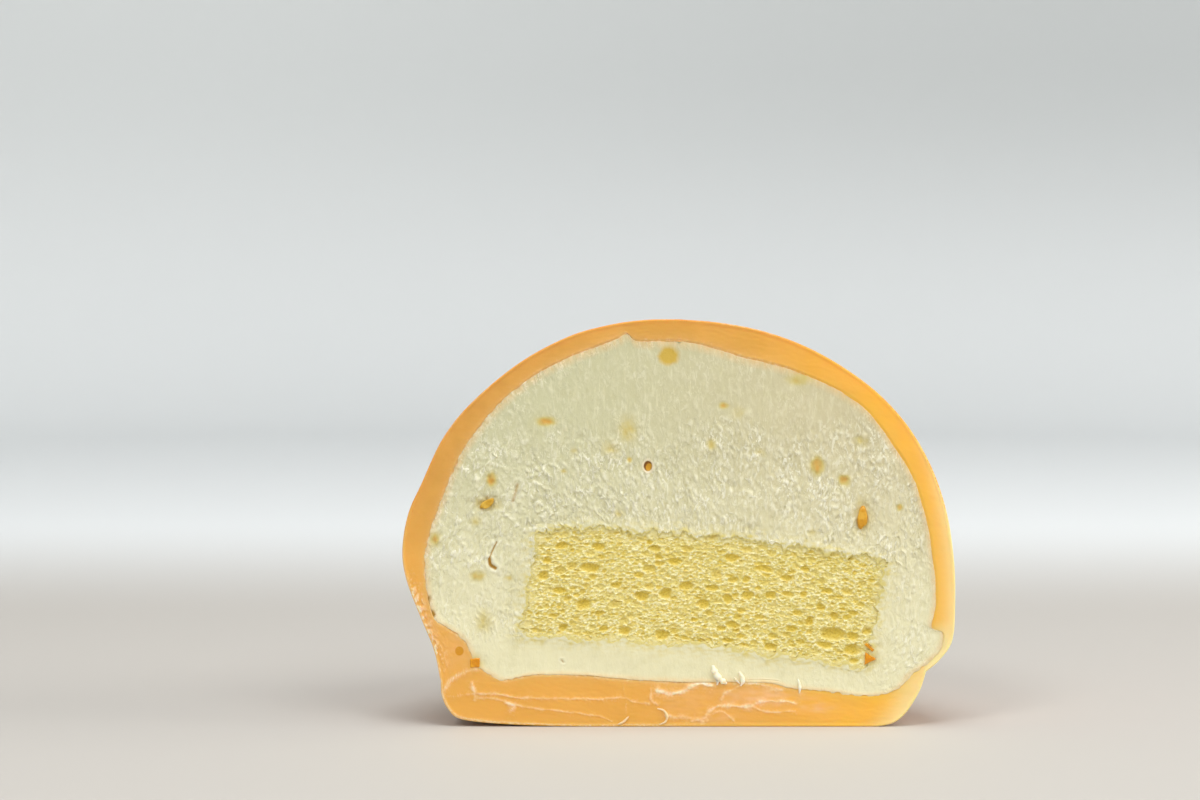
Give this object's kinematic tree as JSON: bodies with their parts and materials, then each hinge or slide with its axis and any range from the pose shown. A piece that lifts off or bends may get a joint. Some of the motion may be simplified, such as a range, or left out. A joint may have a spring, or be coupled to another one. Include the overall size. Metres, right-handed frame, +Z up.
{
  "type": "mochi rice cake half",
  "caption": "Domed mochi cake cut upright through its middle: a thick rice dough skin round whipped cream with mango bits and a slab of sponge.",
  "frame": {"origin": "on the surface the cake stands on, under the middle of its box", "axes": "+Z up; +X across the cut face to its right, seen from the front; +Y from the cut face towards the round back"},
  "size_m": [0.075, 0.0368, 0.0554],
  "materials": {
    "rice_dough": "satin orange dough, lightly dusted with starch",
    "whipped_cream": "moist whipped cream, pale ivory",
    "sponge_crumb": "dry open crumb, pale yellow"
  },
  "bodies": {
    "root": {"mochi_skin": "rice_dough", "whipped_cream": "whipped_cream", "sponge_slab": "sponge_crumb"}
  },
  "joints": []
}
